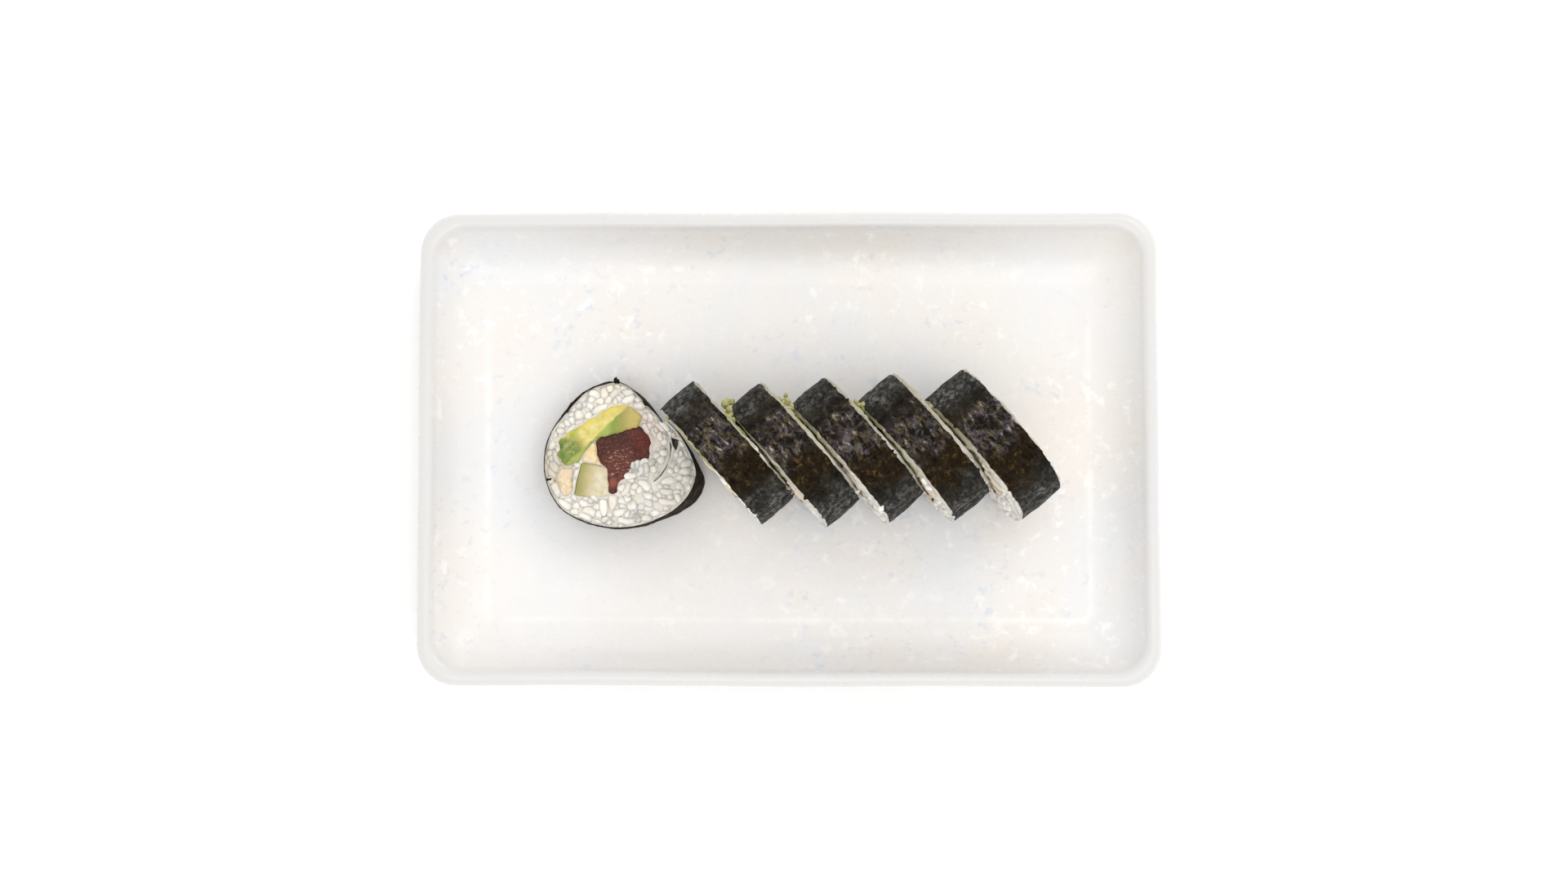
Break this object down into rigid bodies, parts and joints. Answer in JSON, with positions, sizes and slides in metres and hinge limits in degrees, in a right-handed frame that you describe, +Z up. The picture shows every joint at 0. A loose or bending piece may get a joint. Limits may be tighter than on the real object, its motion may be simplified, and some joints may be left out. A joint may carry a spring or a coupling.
{
  "type": "maki sushi roll slices on a dish",
  "caption": "Slices of a thick maki sushi roll in a row on a rectangular glazed stoneware dish, one lying with its cut face up and the rest standing on their nori side.",
  "frame": {"origin": "centre of the dish's underside, on the surface it rests on", "axes": "+X along the dish's long side from the slice lying flat towards the standing row, +Y across the dish, +Z up"},
  "size_m": [0.236, 0.151, 0.0557],
  "materials": {
    "dish": "satin white glaze with fine grey speckle",
    "nori": "dried seaweed sheet, near black, softly glossy",
    "rice": "cooked short-grain rice, moist",
    "tuna": "dark red fish, wet",
    "avocado": "yellow to green flesh, waxy",
    "egg": "cream cooked egg, smooth",
    "cucumber": "pale flesh with a green skin, moist"
  },
  "bodies": {
    "root": {"dish": "dish", "slice_1_avocado": "avocado", "slice_1_cucumber": "cucumber", "slice_1_egg_inner": "egg", "slice_1_egg_outer": "egg", "slice_1_nori": "nori", "slice_1_rice": "rice", "slice_1_tuna": "tuna", "slice_2_avocado": "avocado", "slice_2_cucumber": "cucumber", "slice_2_egg_inner": "egg", "slice_2_egg_outer": "egg", "slice_2_nori": "nori", "slice_2_rice": "rice", "slice_2_tuna": "tuna", "slice_3_avocado": "avocado", "slice_3_cucumber": "cucumber", "slice_3_egg_inner": "egg", "slice_3_egg_outer": "egg", "slice_3_nori": "nori", "slice_3_rice": "rice", "slice_3_tuna": "tuna", "slice_4_avocado": "avocado", "slice_4_cucumber": "cucumber", "slice_4_egg_inner": "egg", "slice_4_egg_outer": "egg", "slice_4_nori": "nori", "slice_4_rice": "rice", "slice_4_tuna": "tuna", "slice_5_avocado": "avocado", "slice_5_cucumber": "cucumber", "slice_5_egg_inner": "egg", "slice_5_egg_outer": "egg", "slice_5_nori": "nori", "slice_5_rice": "rice", "slice_5_tuna": "tuna", "slice_6_avocado": "avocado", "slice_6_cucumber": "cucumber", "slice_6_egg_inner": "egg", "slice_6_egg_outer": "egg", "slice_6_nori": "nori", "slice_6_rice": "rice", "slice_6_tuna": "tuna"}
  },
  "joints": []
}
